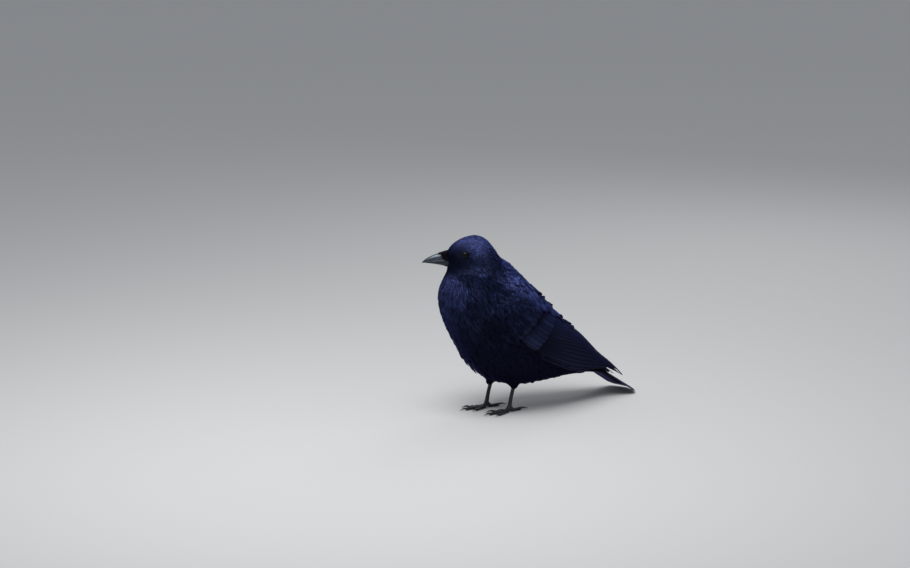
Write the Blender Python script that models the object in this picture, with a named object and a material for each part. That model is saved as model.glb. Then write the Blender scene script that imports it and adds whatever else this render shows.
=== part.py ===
"""A carrion crow standing on level ground, life size, its head turned to its right.

Tables are in millimetres. Most of the body is laid out along its spine: along (towards
the head), left, and rise (towards the back). The head has its own directions: ahead of
the eyes, left and rise. Legs are given forward, left and up from the floor between the
feet. The finished model faces -Y, with its left side on +X, and its box stands centred
on the origin.
"""

import math

import bmesh
import bpy
import numpy as np
from mathutils import Vector

MM = 0.001
GAP = 0.3  # between neighbouring solids, and the width of the cuts that part the body

# Stance
SPINE_START = (4.0, 147.0)  # forward and up of the spine's zero
FRONT_INCLINE = 50.0  # of the spine ahead of the hips, in degrees
REAR_INCLINE = 32.7  # of the spine at the tail
BEND_FROM, BEND_TO = 25.0, -125.0  # the stretch of spine that curves
HEAD_CENTRE = (60.0, 0.0, 256.5)  # between the eyes: forward, left, up
HEAD_TURN = 33.0  # to the bird's right, in degrees
HIP_SPREAD = 22.0  # from the middle to each leg
LEFT_FOOT_FORWARD = -3.0
RIGHT_FOOT_FORWARD = 11.0

# Stations of the trunk: along, half width, back, belly
TRUNK = (
    (-200, 12, 32, 14),
    (-172, 24, 42, -1),
    (-140, 33, 51, -22),
    (-100, 44, 58, -52),
    (-60, 53, 63, -75),
    (-20, 59, 68, -84),
    (20, 60, 71, -78),
    (50, 58, 71, -72),
    (80, 50, 64, -63),
    (106, 37, 47, -43),
    (118, 20, 32, -22),
)
TRUNK_FULLNESS = 1.16  # 1 is an ellipse
# Stations of the neck, from the head's centre: forward, left, up, half width, half depth
NECK = (
    (-23, 2, -58, 53, 60),
    (-20, 1, -42, 47, 50),
    (-15.5, -1, -28, 38, 39),
    (-8, -3, -14, 30, 33),
    (-6, -4, 2, 18, 22),
)
# Stations of the head: ahead, half width, crown, throat
HEAD = (
    (36, 8, 4, -18),
    (31, 12.5, 12, -22),
    (24, 17, 19, -26),
    (14, 21.5, 25.5, -30),
    (0, 25.5, 30.5, -33),
    (-14, 28, 32, -35),
    (-27, 28, 26, -35),
    (-39, 25, 12, -33),
    (-49, 19, -2, -29),
)
THROAT_NOTCH = (31.0, -29.0)  # ahead and rise where the head is parted from the neck
NAPE_NOTCH = (-52.0, -8.0)
BREAST_NOTCH = (92.0, -60.0)  # along and rise where the neck is parted from the trunk
SHOULDER_NOTCH = (58.0, 68.0)

# Stations of a folded wing: along, half width and crown of the roof that the pair form,
# that roof's springing, lower and upper edge as angles round it in degrees, thickness
WING = (
    (58, 60, 66, 0, 6, 22, 4),
    (52, 63, 71, 0, -4, 36, 8),
    (38, 65, 77, 0, -10, 48, 11),
    (5, 67, 80, 0, -14, 58, 12),
    (-50, 65, 76, 2, -14, 72, 10),
    (-100, 57, 69, 6, -13, 84, 7),
    (-150, 46, 66, 12, -12, 89, 6),
    (-166, 42, 64, 14, -10, 89, 5),
    (-172, 40, 60, 16, -8, 84, 4.5),
    (-200, 34, 56, 26, -4, 82, 4),
    (-225, 29, 53, 37, 2, 80, 3),
    (-255, 20, 48, 38.5, 6, 78, 2.2),
    (-272, 12, 44.5, 38.5, 20, 70, 1.5),
)
TERTIAL_TIPS = (-166, -172)  # along, where the roof of tertials steps down to the primaries
# Stations of the tail: along, half width, middle, half thickness, droop of the sides
TAIL = (
    (-100, 20, 36, 12, 3),
    (-125, 22, 35, 8, 3),
    (-155, 24, 34, 5, 3.5),
    (-200, 27.5, 33, 2.6, 4.5),
    (-225, 31, 32.5, 2.3, 5),
    (-250, 34, 32, 2.0, 5.5),
    (-284, 36, 32, 1.6, 5.5),
    (-293, 30, 32, 1.4, 4.5),
    (-297, 20, 32, 1.1, 3),
)

# Stations of the bill: ahead, half width, ridge, edge
UPPER_BILL = (
    (20, 8.4, 5.4, -8.4),
    (32, 8.6, 5.8, -8.5),
    (42, 7.6, 3.2, -8.9),
    (51, 6.0, 0.2, -9.8),
    (60, 4.3, -3.4, -10.9),
    (67, 2.6, -7.4, -11.6),
    (71.5, 0.8, -11.2, -12.4),
)
LOWER_BILL = (
    (20, 8.2, -19.6, -8.9),
    (32, 8.3, -19.8, -9.0),
    (42, 6.6, -17.0, -9.4),
    (51, 5.2, -15.4, -10.3),
    (60, 3.6, -14.2, -11.4),
    (67, 2.0, -13.4, -12.1),
    (69.5, 0.8, -13.2, -12.5),
)
BILL_PINCH = 0.2  # how much narrower a bill is at its ridge than at its edge
EYE_RADIUS = 6.3
EYE_OUT = 20.0  # from the middle of the head to an eye's centre
EYE_AHEAD = 4.5
EYE_RISE = 3.5

# Stations of a leg: up, forward of its foot, half width, half depth
THIGH = (
    (36.5, -7, 3.4, 4.0),
    (40, -8, 6.5, 7.2),
    (46.5, -9, 9.5, 10.5),
    (54, -10, 12, 14),
    (70, -6, 15, 19),
    (92, 2, 17, 22),
)
TARSUS = (
    (5.5, 0, 3.2, 3.6),
    (13, -1, 2.6, 3.3),
    (25, -3.5, 2.2, 3.0),
    (40, -8, 2.5, 3.3),
    (54, -12, 3.4, 4.2),
)
# Toes: number, heading from straight ahead towards the middle line, length, thickness
TOES = (
    (1, 176.0, 22.0, 6.2),
    (2, 22.0, 28.0, 5.7),
    (3, -2.0, 38.0, 5.8),
    (4, -24.0, 31.0, 5.4),
)
TOE_JOINTS = {1: 1, 2: 2, 3: 3, 4: 4}
TOE_TAPER = 0.32  # of the thickness lost by the tip
JOINT_SWELLING = 0.12
TOE_SETTLING = 9.0  # length over which a toe comes down to the floor
CLAW_LENGTH = {1: 17.0, 2: 12.0, 3: 13.0, 4: 11.0}
CLAW_THICKNESS = 3.8
CLAW_BURIED = 1.5  # of its length inside the toe
KNOB = (  # where the toes meet, in a leg's stations
    (4.5, 0, 3.4, 3.8),
    (11.5, 0, 3.0, 3.4),
)
FOOT_RISE = 7.5  # height where the toes meet
TOE_SINK = 0.6  # of the rounded toes into the floor, which leaves the flats they stand on
CLAW_ROOT = 2.2  # heights of a claw's middle line: at its root, of its arch, at its tip
CLAW_ARCH = 2.4
CLAW_TIP = 0.5


def hermite(rows, places):
    """The rows' other columns at each place, on a smooth curve through all the rows."""
    table = np.array(sorted(rows), float)
    x, y = table[:, 0], table[:, 1:]
    slope = np.gradient(y, x, axis=0)
    found = []
    for place in places:
        i = int(np.clip(np.searchsorted(x, place) - 1, 0, len(x) - 2))
        step = x[i + 1] - x[i]
        t = (place - x[i]) / step
        found.append(
            (1 + 2 * t) * (1 - t) ** 2 * y[i]
            + t * (1 - t) ** 2 * step * slope[i]
            + t * t * (3 - 2 * t) * y[i + 1]
            + t * t * (t - 1) * step * slope[i + 1]
        )
    return found


def world(forward, left, up):
    return Vector((left, -forward, up)) * MM


def incline(along):
    """The spine's slope, easing from the front's to the rear's over the bend."""
    t = min(max((BEND_FROM - along) / (BEND_FROM - BEND_TO), 0.0), 1.0)
    ease = t * t * (3 - 2 * t)
    return math.radians(FRONT_INCLINE + (REAR_INCLINE - FRONT_INCLINE) * ease)


def spine_point(along):
    """Forward and up of the spine at a place along it, by walking it in short steps."""
    forward, up = SPINE_START
    count = max(int(abs(along) / 2), 1)
    step = along / count
    for i in range(count):
        slope = incline((i + 0.5) * step)
        forward += step * math.cos(slope)
        up += step * math.sin(slope)
    return forward, up


def on_body(along, left, rise):
    forward, up = spine_point(along)
    slope = incline(along)
    return world(forward - rise * math.sin(slope), left, up + rise * math.cos(slope))


def on_head(ahead, left, rise):
    turn = math.radians(HEAD_TURN)
    forward, side, up = HEAD_CENTRE
    forward += ahead * math.cos(turn) + left * math.sin(turn)
    side += left * math.cos(turn) - ahead * math.sin(turn)
    return world(forward, side, up + rise)


def circle(sides):
    """Cosine and sine of evenly spaced angles."""
    return [(math.cos(a), math.sin(a)) for a in np.arange(sides) * 2 * math.pi / sides]


def loft(rings):
    """A closed mesh through rings of points, with a flat cap at each end."""
    mesh = bmesh.new()
    loops = []
    for ring in rings:
        verts = [mesh.verts.new(point) for point in ring]
        pairs = zip(verts, verts[1:] + verts[:1])
        loops.append([mesh.edges.new(pair) for pair in pairs])
    for first, second in zip(loops, loops[1:]):
        bmesh.ops.bridge_loops(mesh, edges=first + second)
    for end in (loops[0], loops[-1]):
        bmesh.ops.edgeloop_fill(mesh, edges=end)
    bmesh.ops.recalc_face_normals(mesh, faces=mesh.faces)
    return mesh


def joined(meshes):
    """One mesh that holds copies of them all."""
    whole = bmesh.new()
    for mesh in meshes:
        data = bpy.data.meshes.new("piece")
        mesh.to_mesh(data)
        mesh.free()
        whole.from_mesh(data)
        bpy.data.meshes.remove(data)
    return whole


def grown(mesh, by):
    """A copy whose surface lies further out by a distance."""
    copy = mesh.copy()
    copy.normal_update()
    for vert, normal in [(v, v.normal.copy()) for v in copy.verts]:
        vert.co += normal * by * MM
    return copy


def add_object(name, mesh, helper=False):
    data = bpy.data.meshes.new(name)
    mesh.to_mesh(data)
    mesh.free()
    item = bpy.data.objects.new(name, data)
    bpy.context.scene.collection.objects.link(item)
    if helper:
        item.hide_render = True
        item.display_type = "WIRE"
    return item


def evaluated(item):
    """The object's mesh with its modifiers applied; the object itself is removed."""
    graph = bpy.context.evaluated_depsgraph_get()
    mesh = bmesh.new()
    mesh.from_object(item, graph)
    bpy.data.objects.remove(item)
    return mesh


def moulded(meshes, voxel, smoothing, keep):
    """Overlapping closed meshes run into one smooth body."""
    item = add_object("mould", joined(meshes))
    remesh = item.modifiers.new("remesh", "REMESH")
    remesh.mode = "VOXEL"
    remesh.voxel_size = voxel * MM
    smooth = item.modifiers.new("smooth", "SMOOTH")
    smooth.iterations = smoothing
    smooth.factor = 0.5
    thin = item.modifiers.new("thin", "DECIMATE")
    thin.ratio = keep
    return evaluated(item)


def kept_side(mesh, point, normal):
    """The part of a closed mesh on the side that the normal points to, half a gap clear."""
    part = mesh.copy()
    normal = normal.normalized()
    cut = bmesh.ops.bisect_plane(
        part,
        geom=part.verts[:] + part.edges[:] + part.faces[:],
        plane_co=point + normal * GAP * MM / 2,
        plane_no=normal,
        clear_inner=True,
    )
    rim = [e for e in cut["geom_cut"] if isinstance(e, bmesh.types.BMEdge)]
    bmesh.ops.edgeloop_fill(part, edges=rim)
    bmesh.ops.recalc_face_normals(part, faces=part.faces)
    return part


def stood_on_floor(mesh):
    """The part of the mesh above the floor, with a flat where it was cut."""
    return kept_side(mesh, Vector((0, 0, -GAP * MM / 2)), Vector((0, 0, 1)))


def cut_clear(item, cutters):
    """Takes each neighbour's shape, a gap larger, out of a solid."""
    for cutter in cutters:
        boolean = item.modifiers.new(cutter.name, "BOOLEAN")
        boolean.operation = "DIFFERENCE"
        boolean.solver = "EXACT"
        boolean.object = cutter


def fuller(share, fullness):
    """A cosine or sine pushed outwards, so that a round section grows squarer."""
    return math.copysign(abs(share) ** (1 / fullness), share)


def body_rings(rows, count, sides, place, fullness):
    """Rings of place(along, left, rise) for rows of along, half width, top and bottom."""
    places = np.linspace(rows[0][0], rows[-1][0], count)
    rings = []
    for along, (half, top, bottom) in zip(places, hermite(rows, places)):
        middle, depth = (top + bottom) / 2, (top - bottom) / 2
        rings.append([
            place(along, half * fuller(c, fullness), middle + depth * fuller(s, fullness))
            for c, s in circle(sides)
        ])
    return rings


def neck_rings():
    centre_forward, centre_left, centre_up = HEAD_CENTRE
    rings = []
    for forward, left, up, half, depth in NECK:
        forward += centre_forward
        left += centre_left
        rings.append([
            world(forward + depth * c, left + half * s, up + centre_up)
            for c, s in circle(36)
        ])
    return rings


def wing_rings(side):
    """Rings round one folded wing: over its upper face and back along its lower one."""
    tertials, primaries = TERTIAL_TIPS
    places = np.concatenate([
        np.linspace(WING[0][0], 38, 4),
        np.linspace(22, tertials, 10),
        np.linspace(primaries, WING[-1][0], 6),
    ])
    across = np.linspace(0, 1, 9)
    rings = []
    for along, row in zip(places, hermite(WING, places)):
        half, crown, springing, lower, upper, thick = row
        ring = []
        for outer, order in ((True, across), (False, across[::-1])):
            for t in order:
                angle = math.radians(lower + (upper - lower) * t)
                fullness = 0.3 + 0.7 * math.sqrt(math.sin(math.pi * t))
                depth = 0.0 if outer else thick * fullness
                left = side * (half - depth) * math.cos(angle)
                rise = springing + (crown - springing - depth) * math.sin(angle)
                ring.append(on_body(along, left, rise))
        rings.append(ring)
    return rings


def tail_rings():
    places = np.concatenate([np.linspace(TAIL[0][0], -284, 9), (-289, -293, -297)])
    rings = []
    for along, (half, middle, thick, droop) in zip(places, hermite(TAIL, places)):
        rings.append([
            on_body(along, half * c, middle + thick * s - droop * c * c)
            for c, s in circle(20)
        ])
    return rings


def bill_rings(rows):
    """Half-round rings, flat along the edge where the two halves of the bill meet."""
    places = np.linspace(rows[0][0], rows[-1][0], 10)
    rings = []
    for ahead, (half, ridge, edge) in zip(places, hermite(rows, places)):
        ring = []
        for c, s in circle(16):
            narrowed = half * c * (1 - BILL_PINCH * max(s, 0))
            ring.append(on_head(ahead, narrowed, edge + (ridge - edge) * max(s, 0)))
        rings.append(ring)
    return rings


def leg_rings(rows, side, foot_forward, count, sides):
    places = np.linspace(rows[0][0], rows[-1][0], count)
    rings = []
    for up, (forward, half, depth) in zip(places, hermite(rows, places)):
        middle = foot_forward + forward
        rings.append([
            world(middle + depth * c, side * (HIP_SPREAD + half * s), up)
            for c, s in circle(sides)
        ])
    return rings


def toe_direction(side, heading):
    """Level directions of a toe: along it, and across it."""
    turn = math.radians(heading)
    along = Vector((-side * math.sin(turn), -math.cos(turn), 0))
    return along, along.cross(Vector((0, 0, 1)))


def tube_rings(path, radii, across, sides):
    """Round rings along a path that bends only in the upright plane square to across."""
    tangents = [
        (path[min(i + 1, len(path) - 1)] - path[max(i - 1, 0)]).normalized()
        for i in range(len(path))
    ]
    rings = []
    for point, radius, tangent in zip(path, radii, tangents):
        up = across.cross(tangent)
        rings.append([
            point + (across * c + up * s) * radius * MM for c, s in circle(sides)
        ])
    return rings


def toe_mesh(side, foot_forward, toe):
    """A toe from where the toes meet to its tip, swollen at each joint."""
    number, heading, length, thickness = toe
    joints = TOE_JOINTS[number]
    along, across = toe_direction(side, heading)
    start = world(foot_forward, side * HIP_SPREAD, 0)
    path, radii = [], []
    for t in np.linspace(0, 1, 5 * joints + 8):
        swelling = 1 + JOINT_SWELLING * math.cos(2 * math.pi * joints * t)
        radius = thickness / 2 * (1.1 - TOE_TAPER * t) * swelling
        settling = max(0.0, 1 - t * length / TOE_SETTLING) ** 2
        height = radius - TOE_SINK + (FOOT_RISE - thickness / 2) * settling
        path.append(start + along * length * t * MM + Vector((0, 0, height * MM)))
        radii.append(radius)
    return loft(tube_rings(path, radii, across, 14))


def claw_mesh(side, foot_forward, toe):
    """A claw that leaves the end of its toe, arches and comes down to the floor."""
    number, heading, length, _ = toe
    along, across = toe_direction(side, heading)
    reach = CLAW_LENGTH[number]
    ankle = world(foot_forward, side * HIP_SPREAD, 0)
    root = ankle + along * (length - CLAW_BURIED) * MM
    path, radii = [], []
    for t in np.linspace(0, 1, 6):
        height = CLAW_ROOT * (1 - t * t) + CLAW_ARCH * 2 * t * (1 - t) + CLAW_TIP * t
        path.append(root + along * reach * t * MM + Vector((0, 0, height * MM)))
        radii.append(max(CLAW_THICKNESS / 2 * (1 - t) ** 0.7, 0.22))
    return loft(tube_rings(path, radii, across, 7))


def foot_mesh(side, foot_forward):
    """Four toes and the knob where they meet, run together and flat on the floor."""
    pieces = [loft(leg_rings(KNOB, side, foot_forward, 3, 16))]
    pieces += [toe_mesh(side, foot_forward, toe) for toe in TOES]
    return stood_on_floor(moulded(pieces, voxel=0.85, smoothing=2, keep=0.06))


def paint(item, colour, roughness, metallic=0.0):
    material = bpy.data.materials.new(item.name)
    material.use_nodes = True
    shader = material.node_tree.nodes["Principled BSDF"]
    shader.inputs["Base Color"].default_value = (*colour, 1)
    shader.inputs["Roughness"].default_value = roughness
    shader.inputs["Metallic"].default_value = metallic
    item.data.materials.append(material)
    item.data.shade_smooth()
    item.data.set_sharp_from_angle(angle=math.radians(40))


BLACK_FEATHER = (0.012, 0.014, 0.030)
FLIGHT_FEATHER = (0.014, 0.014, 0.022)
HORN = (0.030, 0.030, 0.036)
LEG_SCALE = (0.022, 0.021, 0.030)
CLAW_HORN = (0.016, 0.016, 0.020)
EYE_BROWN = (0.010, 0.007, 0.005)


def build_body():
    """Trunk, neck and head, moulded as one, parted by two thin cuts; and the whole, grown."""
    body = moulded(
        [
            loft(body_rings(TRUNK, 34, 36, on_body, TRUNK_FULLNESS)),
            loft(neck_rings()),
            loft(body_rings(HEAD, 22, 32, on_head, 1.0)),
        ],
        voxel=4.5,
        smoothing=14,
        keep=0.135,
    )
    cutter = add_object("body_room", grown(body, GAP), helper=True)
    throat = on_head(THROAT_NOTCH[0], 0, THROAT_NOTCH[1])
    nape = on_head(NAPE_NOTCH[0], 0, NAPE_NOTCH[1])
    beside_head = on_head(0, 1, 0) - on_head(0, 0, 0)
    over_neck = (throat - nape).cross(beside_head)
    breast = on_body(BREAST_NOTCH[0], 0, BREAST_NOTCH[1])
    shoulder = on_body(SHOULDER_NOTCH[0], 0, SHOULDER_NOTCH[1])
    over_trunk = (breast - shoulder).cross(Vector((1, 0, 0)))
    upper = kept_side(body, breast, over_trunk)
    head = add_object("head", kept_side(upper, throat, over_neck))
    neck = add_object("neck", kept_side(upper, throat, -over_neck))
    trunk = add_object("trunk", kept_side(body, breast, -over_trunk))
    for item in (head, neck, trunk):
        paint(item, BLACK_FEATHER, 0.5)
    upper.free()
    body.free()
    return head, cutter


def build_eyes(head):
    for name, side in (("left_eye", 1), ("right_eye", -1)):
        centre = on_head(EYE_AHEAD, side * EYE_OUT, EYE_RISE)
        balls = []
        for radius in (EYE_RADIUS, EYE_RADIUS + GAP):
            ball = bmesh.new()
            bmesh.ops.create_uvsphere(ball, u_segments=16, v_segments=8, radius=radius * MM)
            bmesh.ops.translate(ball, verts=ball.verts, vec=centre)
            balls.append(ball)
        eye = add_object(name, balls[0])
        paint(eye, EYE_BROWN, 0.08)
        cut_clear(head, [add_object(name + "_socket", balls[1], helper=True)])


def build_bill(body_room):
    for name, rows in (("upper_bill", UPPER_BILL), ("lower_bill", LOWER_BILL)):
        half = add_object(name, loft(bill_rings(rows)))
        cut_clear(half, [body_room])
        paint(half, HORN, 0.3)


def build_tail_and_wings(body_room):
    tail_shape = stood_on_floor(loft(tail_rings()))
    tail_room = add_object("tail_room", grown(tail_shape, GAP), helper=True)
    tail = add_object("tail", tail_shape)
    cut_clear(tail, [body_room])
    paint(tail, FLIGHT_FEATHER, 0.45)
    for name, side in (("left_wing", 1), ("right_wing", -1)):
        wing = add_object(name, loft(wing_rings(side)))
        cut_clear(wing, [body_room, tail_room])
        paint(wing, FLIGHT_FEATHER, 0.42)


def build_legs(body_room):
    for prefix, side, foot_forward in (
        ("left_", 1, LEFT_FOOT_FORWARD),
        ("right_", -1, RIGHT_FOOT_FORWARD),
    ):
        foot_shape = foot_mesh(side, foot_forward)
        foot_room = add_object(prefix + "foot_room", grown(foot_shape, GAP), helper=True)
        foot = add_object(prefix + "foot", foot_shape)
        paint(foot, LEG_SCALE, 0.45)
        thigh_shape = loft(leg_rings(THIGH, side, foot_forward, 7, 18))
        thigh_room = add_object(prefix + "thigh_room", grown(thigh_shape, GAP), helper=True)
        thigh = add_object(prefix + "thigh", thigh_shape)
        cut_clear(thigh, [body_room])
        paint(thigh, BLACK_FEATHER, 0.55)
        tarsus = add_object(
            prefix + "tarsus", loft(leg_rings(TARSUS, side, foot_forward, 8, 14))
        )
        cut_clear(tarsus, [foot_room, thigh_room])
        paint(tarsus, LEG_SCALE, 0.42)
        for toe in TOES:
            claw = add_object(f"{prefix}claw_{toe[0]}", claw_mesh(side, foot_forward, toe))
            cut_clear(claw, [foot_room])
            paint(claw, CLAW_HORN, 0.3)


def centre_on_origin():
    """Moves every mesh so that the middle of the model's box is over the origin."""
    graph = bpy.context.evaluated_depsgraph_get()
    corners = [
        Vector(corner)
        for item in bpy.data.objects
        if not item.hide_render
        for corner in item.evaluated_get(graph).bound_box
    ]
    middle = Vector((
        (min(c.x for c in corners) + max(c.x for c in corners)) / 2,
        (min(c.y for c in corners) + max(c.y for c in corners)) / 2,
        0,
    ))
    for item in bpy.data.objects:
        for vert in item.data.vertices:
            vert.co -= middle


def main():
    for item in list(bpy.data.objects):
        bpy.data.objects.remove(item)
    head, body_room = build_body()
    build_eyes(head)
    build_bill(body_room)
    build_tail_and_wings(body_room)
    build_legs(body_room)
    centre_on_origin()


main()
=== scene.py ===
"""The looks of a standing crow: one skin, a coat of separate feathers, bill, eyes and legs.

Tables are in millimetres, in the bird's own directions: along its spine towards the head,
left and rise on the body; ahead, left and rise from between the eyes on the head.
"""

import math

import bmesh
import bpy
import numpy as np
from mathutils import Matrix, Vector
from mathutils.bvhtree import BVHTree
from mathutils.kdtree import KDTree

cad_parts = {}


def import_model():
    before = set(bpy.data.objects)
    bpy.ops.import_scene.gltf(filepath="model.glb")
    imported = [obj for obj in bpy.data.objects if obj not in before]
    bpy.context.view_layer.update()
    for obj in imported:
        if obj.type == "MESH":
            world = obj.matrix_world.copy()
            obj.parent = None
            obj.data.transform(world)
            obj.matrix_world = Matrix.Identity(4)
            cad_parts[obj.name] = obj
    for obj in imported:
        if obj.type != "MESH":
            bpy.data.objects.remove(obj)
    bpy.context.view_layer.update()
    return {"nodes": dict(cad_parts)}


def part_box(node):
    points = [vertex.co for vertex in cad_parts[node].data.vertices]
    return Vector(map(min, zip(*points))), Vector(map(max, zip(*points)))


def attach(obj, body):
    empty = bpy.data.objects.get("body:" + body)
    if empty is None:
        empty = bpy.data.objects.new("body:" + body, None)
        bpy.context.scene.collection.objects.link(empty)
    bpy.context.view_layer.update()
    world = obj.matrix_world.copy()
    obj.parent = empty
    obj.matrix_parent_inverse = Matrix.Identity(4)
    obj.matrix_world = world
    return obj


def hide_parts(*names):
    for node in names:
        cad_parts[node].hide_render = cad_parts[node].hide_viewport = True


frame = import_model()

MM = 0.001
rng = np.random.default_rng(7)

# The stance, as the solids have it
SPINE_START = (4.0, 147.0)
FRONT_INCLINE, REAR_INCLINE = 50.0, 32.7
BEND_FROM, BEND_TO = 25.0, -125.0
HEAD_CENTRE = (60.0, 0.0, 256.5)
HEAD_TURN = math.radians(33.0)
HIP_SPREAD = 22.0
FEET = {"left": (1, -3.0), "right": (-1, 11.0)}  # side, forward
EYE_AHEAD, EYE_OUT, EYE_RISE, EYE_RADIUS = 4.5, 20.0, 3.5, 6.3

# Stations of a folded wing: along, half width and crown of the roof, its springing,
# lower and upper edge in degrees
WING = (
    (58, 60, 66, 0, 6, 22),
    (52, 63, 71, 0, -4, 36),
    (38, 65, 77, 0, -10, 48),
    (5, 67, 80, 0, -14, 58),
    (-50, 65, 76, 2, -14, 72),
    (-100, 57, 69, 6, -13, 84),
    (-150, 46, 66, 12, -12, 89),
    (-175, 41, 61, 18, -8, 87),
    (-200, 34, 56, 26, -4, 82),
    (-225, 29, 53, 37, 2, 80),
    (-255, 20, 48, 38.5, 6, 78),
    (-272, 12, 44.5, 38.5, 20, 70),
)

# The lie of the coat on the head: ahead, left, rise; the way the feathers point;
# length, width, lift of the tip off the skin, share of blue (the plumage's gloss, set
# high on top as painted light and low underneath as painted shade)
HEAD_LIE = (
    ((35, 5, 2), (-1, 0, 0.5), 3.0, 1.5, 0.8, 0.35),
    ((28, 8, 14), (-1, 0, 0.7), 3.4, 1.8, 0.9, 0.6),
    ((15, 9, 25), (-1, 0, 0.2), 4.6, 2.5, 1.1, 0.9),
    ((-4, 9, 31), (-1, 0, 0), 5.6, 3.1, 1.3, 1.0),
    ((-26, 9, 27), (-1, 0, -0.6), 7.5, 4.0, 1.6, 0.9),
    ((-44, 8, 4), (-0.6, 0, -1), 10, 5.2, 2.0, 0.4),
    ((29, 14, -3), (-1, 0, -0.1), 2.8, 1.3, 0.6, 0.0),
    ((20, 19, -9), (-1, 0, -0.2), 3.2, 1.6, 0.7, 0.1),
    ((14, 21, 6), (-1, 0, 0.2), 3.0, 1.5, 0.6, 0.3),
    ((5, 24, 13), (-1, 0, 0.0), 3.4, 1.8, 0.8, 0.6),
    ((4, 24, -10), (-1, 0, -0.3), 4.6, 2.0, 0.9, 0.25),
    ((-14, 27, -6), (-1, 0, -0.35), 6.0, 2.6, 1.2, 0.35),
    ((-12, 25, 14), (-1, 0, -0.15), 5.2, 2.8, 1.2, 0.75),
    ((-34, 22, -4), (-0.8, 0, -0.8), 8.5, 4.2, 1.6, 0.35),
    ((27, 7, -23), (-0.8, 0, -0.5), 4.4, 1.8, 1.0, 0.15),
    ((10, 10, -31), (-0.6, 0, -1), 8.5, 2.8, 1.8, 0.3),
    ((-6, 25, -26), (-0.7, 0, -0.9), 8.5, 3.4, 1.6, 0.3),
)
# The same on the body: along, left, rise; the low shares of blue on the belly and underside are painted
# shade
BODY_LIE = (
    ((116, 10, -22), (-1, 0, -0.6), 15, 3.6, 2.8, 0.6),
    ((104, 28, -32), (-1, 0, -0.4), 16, 4.4, 2.8, 0.7),
    ((92, 12, -54), (-1, 0, 0), 17, 5.4, 2.8, 0.5),
    ((80, 42, -34), (-1, 0, -0.1), 17, 6.0, 2.8, 0.32),
    ((66, 26, -68), (-1, 0, 0), 20, 8.0, 2.8, 0.2),
    ((30, 20, -76), (-1, 0, 0), 23, 12.0, 2.8, 0.03),
    ((-20, 22, -82), (-1, 0, 0), 25, 14.0, 2.8, 0.0),
    ((-70, 22, -70), (-1, 0, 0), 26, 14.0, 2.6, 0.0),
    ((-120, 16, -38), (-1, 0, 0), 28, 13.0, 2.4, 0.0),
    ((-170, 10, 0), (-1, 0, 0.2), 32, 12.0, 1.8, 0.0),
    ((40, 58, -30), (-1, 0, -0.15), 20, 11.0, 2.8, 0.08),
    ((-30, 56, -34), (-1, 0, -0.1), 25, 13.0, 2.8, 0.05),
    ((-100, 42, -20), (-1, 0, 0), 26, 13.0, 2.4, 0.0),
    ((78, 50, -6), (-1, 0, -0.25), 16, 8.0, 2.6, 0.4),
    ((100, 37, 6), (-1, 0, -0.3), 12, 6.4, 2.4, 0.4),
    ((108, 14, 40), (-1, 0, -0.3), 11, 6.4, 2.4, 0.45),
    ((84, 20, 60), (-1, 0, -0.1), 15, 9.5, 2.6, 0.75),
    ((50, 24, 70), (-1, 0, 0), 19, 12.0, 2.6, 0.85),
    ((52, 46, 50), (-1, 0.15, -0.1), 14, 10.0, 1.9, 1.0),
    ((25, 44, 63), (-1, 0.15, -0.05), 20, 13.0, 2.1, 1.0),
    ((-15, 38, 68), (-1, 0.08, 0), 25, 14.0, 2.1, 0.9),
    ((-50, 30, 68), (-1, 0, 0), 28, 14.0, 2.0, 0.75),
    ((46, 62, 20), (-1, 0, 0.05), 11, 7.5, 1.4, 0.45),
    ((20, 65, 28), (-1, 0, 0.05), 13, 9.0, 1.5, 0.35),
    ((18, 67, 0), (-1, 0, 0.05), 12, 8.0, 1.4, 0.25),
    ((0, 18, 69), (-1, 0, 0), 23, 14.0, 2.6, 0.8),
    ((-60, 16, 62), (-1, 0, 0), 25, 14.0, 2.4, 0.7),
    ((-120, 14, 52), (-1, 0, 0), 28, 13.0, 2.0, 0.5),
    ((-170, 10, 41), (-1, 0, 0), 34, 12.0, 1.6, 0.4),
)
# And over the ankles: forward of the foot, left of the leg's middle, up
THIGH_LIE = (
    ((-2, 0, 44), (-0.25, 0, -1), 11, 4.6, 1.3, 0.0),
    ((-15, 0, 46), (-0.1, 0, -1), 12, 5.0, 1.5, 0.0),
    ((-8, 7, 46), (-0.2, 0.05, -1), 12, 5.0, 1.3, 0.0),
    ((-8, -7, 46), (-0.2, -0.05, -1), 12, 5.0, 1.3, 0.0),
)
BRISTLES = 620  # bristles over the base of the bill
PITCH_BY_WIDTH = 0.47  # spacing of the roots, as a share of a feather's width
BLEND_DISTANCE = 6.0  # within which the entries of the lie run together
FOLLOWING = 0.4  # how closely a feather turns with the skin beneath it
UNDERSIDE = 0.25  # depth of a vane's underside, as a share of its top
BAKE_PATCH = 0.003  # side of one feather's patch in the bake's unwrap
WING_TONES = (0.2, 0.9)  # darkest and lightest of the long wing feathers

# Feather outlines: places along a feather and its half width there
CONTOUR = ((0, 0.35), (0.28, 0.85), (0.55, 1), (0.78, 0.92), (0.93, 0.56), (1, 0.12))
COVERT = ((0, 0.45), (0.3, 0.85), (0.6, 1), (0.82, 0.95), (0.94, 0.66), (1, 0.2))
SILKY = ((0, 0.5), (0.4, 1), (0.78, 0.8), (1, 0.12))
HACKLE = ((0, 0.4), (0.3, 0.95), (0.6, 0.9), (0.85, 0.5), (1, 0.06))
BRISTLE = ((0, 1), (0.4, 0.8), (0.75, 0.5), (1, 0.12))

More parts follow.
